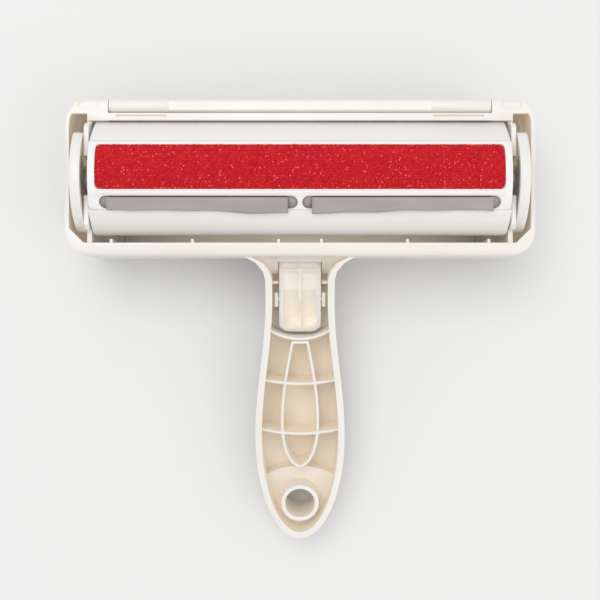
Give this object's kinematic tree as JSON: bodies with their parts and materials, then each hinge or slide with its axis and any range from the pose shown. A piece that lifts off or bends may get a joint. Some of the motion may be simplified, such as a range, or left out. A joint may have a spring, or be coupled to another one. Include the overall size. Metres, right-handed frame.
{
  "type": "lint roller",
  "caption": "T-shaped hand roller for pet hair and lint: a rocking drum with a red pile band and two rubber lips, and a dust chamber behind it under a hinged lid.",
  "frame": {"origin": "centre of the footprint on the surface that the roller's back lies on", "axes": "+X along the head and the drum, +Y from the handle to the head, +Z out of the drum's face"},
  "size_m": [0.195, 0.1898, 0.0585],
  "materials": {
    "frame_plastic": "satin moulded, ivory",
    "lid_plastic": "satin moulded, ivory",
    "button_plastic": "satin moulded, ivory",
    "drum_plastic": "satin moulded, off-white",
    "rim_plastic": "satin moulded, off-white",
    "plate_plastic": "satin moulded, pale grey white",
    "red_pile": "short directional pile, red",
    "lip_rubber": "matte, light grey",
    "pin_steel": "drawn steel",
    "spring_steel": "spring wire",
    "screw_steel": "zinc plated"
  },
  "bodies": {
    "frame": {"handle_frame": "frame_plastic", "bearing_block_left": "frame_plastic", "bearing_block_right": "frame_plastic", "hinge_pin_left": "pin_steel", "hinge_pin_right": "pin_steel", "button_pins": "pin_steel", "button_spring": "spring_steel"},
    "lid": {"lid_shell": "lid_plastic"},
    "button": {"release_button": "button_plastic"},
    "drum": {"drum_shell": "drum_plastic", "drum_end_left": "drum_plastic", "drum_end_right": "drum_plastic", "end_rim_left": "rim_plastic", "end_rim_right": "rim_plastic", "rim_screws": "screw_steel", "upper_plate": "plate_plastic", "lower_plate": "drum_plastic", "brush_cassette": "drum_plastic", "pile_strip": "red_pile", "rubber_lip_left": "lip_rubber", "rubber_lip_right": "lip_rubber", "lip_clamp": "drum_plastic", "clamp_screws": "screw_steel"}
  },
  "joints": [
    {"name": "drum_rock", "type": "hinge", "parent": "frame", "child": "drum", "pos_m": [0, 0.06212, 0.0315], "axis": [1, 0, 0], "range_deg": [-26, 26]},
    {"name": "lid_open", "type": "hinge", "parent": "frame", "child": "lid", "pos_m": [0, 0.09192, 0.0435], "axis": [1, 0, 0], "range_deg": [0, 100]},
    {"name": "button_press", "type": "hinge", "parent": "frame", "child": "button", "pos_m": [0, 0.0115, 0.02624], "axis": [-1, 0, 0], "range_deg": [0, 7], "stiffness_Nm_per_rad": 0.03, "springref_deg": -5.73}
  ]
}
